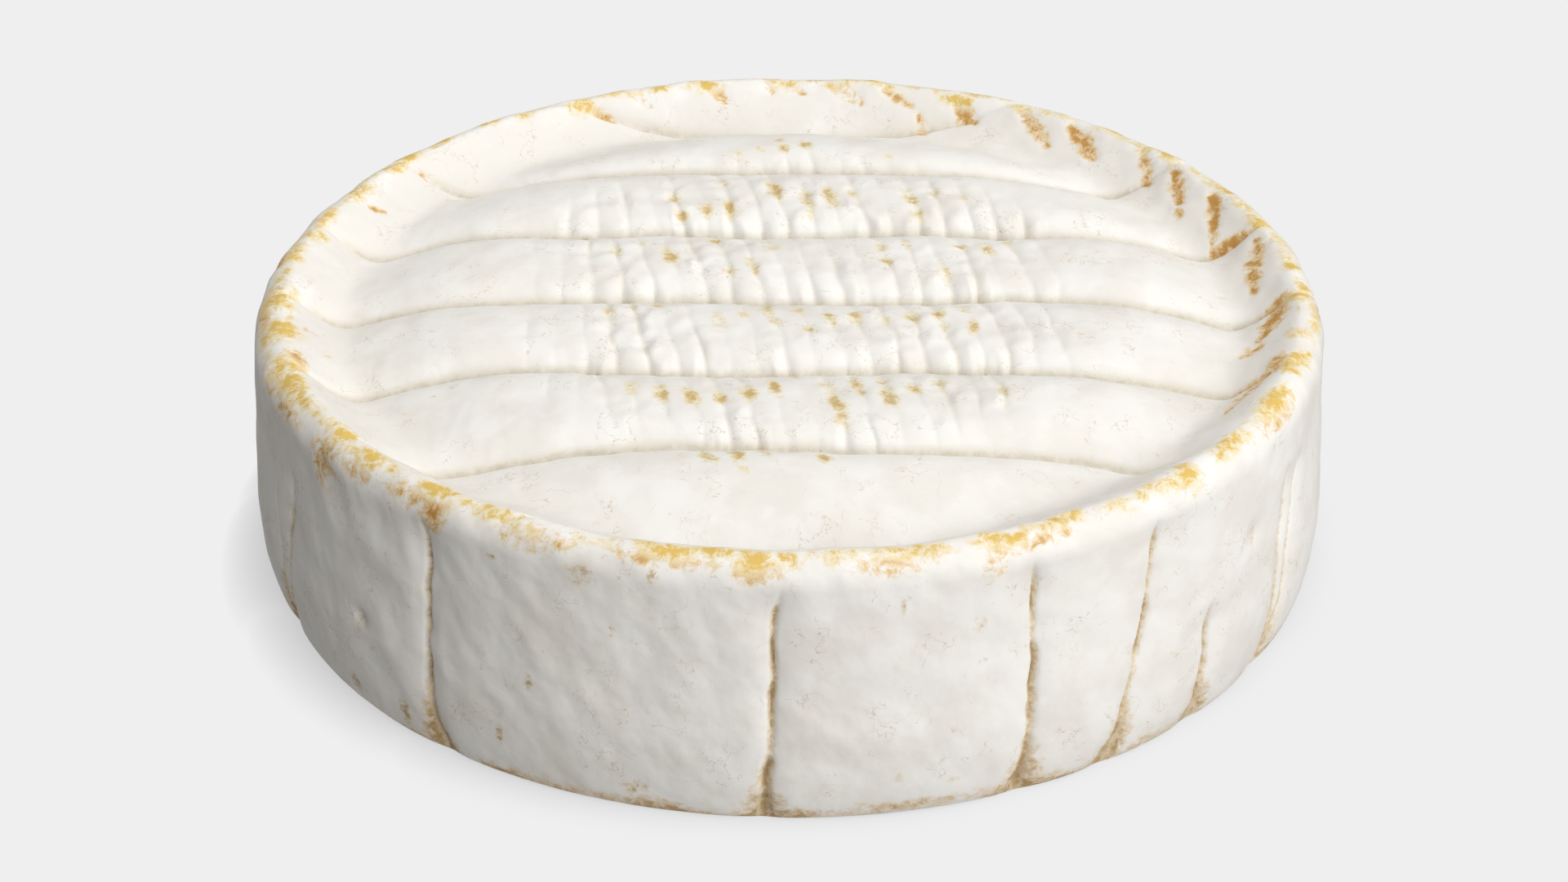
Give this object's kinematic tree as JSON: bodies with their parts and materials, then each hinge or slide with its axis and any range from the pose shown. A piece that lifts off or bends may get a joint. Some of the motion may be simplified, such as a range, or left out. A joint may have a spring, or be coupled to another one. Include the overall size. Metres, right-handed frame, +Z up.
{
  "type": "cheese wheel",
  "caption": "Whole wheel of soft white-rind cheese: a low drum with a raised rim, a dished top crossed by broad ribs, and a wall split by cracks.",
  "frame": {"origin": "centre of the flat foot that the wheel rests on", "axes": "+Z up along the wheel's axis; the ribs on the top run along X and -Y is the front"},
  "size_m": [0.1116, 0.1115, 0.0291],
  "materials": {
    "rind": "matt, velvety white mould rind with yellow-ochre and rusty patches along the rim, the cracks and the foot"
  },
  "bodies": {
    "root": {"cheese_wheel": "rind"}
  },
  "joints": []
}
